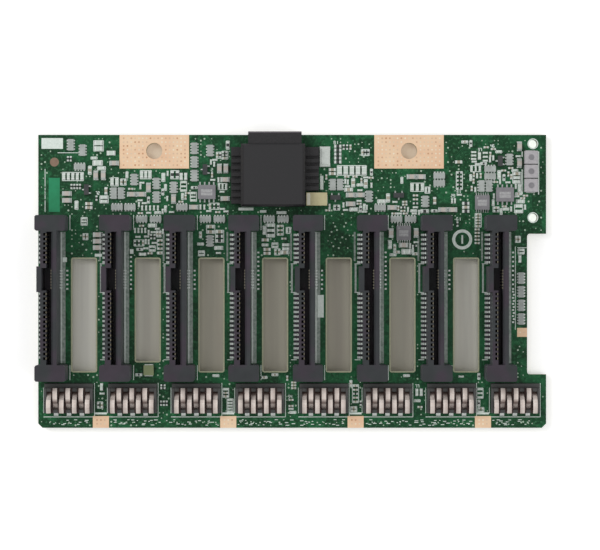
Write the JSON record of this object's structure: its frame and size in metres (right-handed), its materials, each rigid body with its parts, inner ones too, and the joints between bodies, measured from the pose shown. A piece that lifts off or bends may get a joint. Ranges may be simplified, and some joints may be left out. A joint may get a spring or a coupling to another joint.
{
  "type": "drive backplane board",
  "caption": "Slotted green circuit board that stands behind a row of drive bays, with tall blind-mate drive receptacles, sprung carrier contacts and a cable receptacle.",
  "frame": {"origin": "centre of the outline, cable mouth included, on the board's rear face", "axes": "+X along the row of bays, +Y towards the head edge with the cable mouth, +Z out of the component face"},
  "size_m": [0.1418, 0.0824, 0.0096],
  "materials": {
    "board_laminate": "glass-epoxy laminate under green solder mask, satin",
    "bare_copper": "bare copper foil with a clear preservative, matte",
    "lock_steel": "stamped, tin-plated",
    "housing_plastic": "black moulded, fine matte",
    "contact_plating": "gold-flashed copper alloy",
    "base_plastic": "dark grey moulded, matte",
    "spring_copper": "plated copper alloy, bright",
    "cable_housing_plastic": "black moulded, smooth matte",
    "capacitor_ceramic": "fired ceramic, satin",
    "resistor_ceramic": "glazed black on white ceramic",
    "chip_resin": "black moulded resin, matte",
    "lead_tin": "tin-plated leads",
    "inductor_ferrite": "pressed iron powder, matte",
    "tantalum_resin": "tan moulded resin, satin",
    "crystal_can": "drawn metal can",
    "sensor_resin": "grey-green moulded resin"
  },
  "bodies": {
    "root": {"circuit_board": "board_laminate", "ground_pads": "bare_copper", "board_locks": "lock_steel", "drive_receptacle_1": "housing_plastic", "receptacle_contacts_1": "contact_plating", "drive_receptacle_2": "housing_plastic", "receptacle_contacts_2": "contact_plating", "drive_receptacle_3": "housing_plastic", "receptacle_contacts_3": "contact_plating", "drive_receptacle_4": "housing_plastic", "receptacle_contacts_4": "contact_plating", "drive_receptacle_5": "housing_plastic", "receptacle_contacts_5": "contact_plating", "drive_receptacle_6": "housing_plastic", "receptacle_contacts_6": "contact_plating", "drive_receptacle_7": "housing_plastic", "receptacle_contacts_7": "contact_plating", "drive_receptacle_8": "housing_plastic", "receptacle_contacts_8": "contact_plating", "carrier_contact_base_1": "base_plastic", "carrier_springs_1": "spring_copper", "carrier_contact_base_2": "base_plastic", "carrier_springs_2": "spring_copper", "carrier_contact_base_3": "base_plastic", "carrier_springs_3": "spring_copper", "carrier_contact_base_4": "base_plastic", "carrier_springs_4": "spring_copper", "carrier_contact_base_5": "base_plastic", "carrier_springs_5": "spring_copper", "carrier_contact_base_6": "base_plastic", "carrier_springs_6": "spring_copper", "carrier_contact_base_7": "base_plastic", "carrier_springs_7": "spring_copper", "carrier_contact_base_8": "base_plastic", "carrier_springs_8": "spring_copper", "cable_receptacle": "cable_housing_plastic", "cable_contacts": "contact_plating", "ceramic_capacitors": "capacitor_ceramic", "resistor_arrays": "resistor_ceramic", "transistors": "chip_resin", "logic_chips": "chip_resin", "driver_chips": "chip_resin", "driver_chip_leads": "lead_tin", "power_inductors": "inductor_ferrite", "tantalum_capacitors": "tantalum_resin", "crystal": "crystal_can", "temperature_sensor": "sensor_resin"}
  },
  "joints": []
}
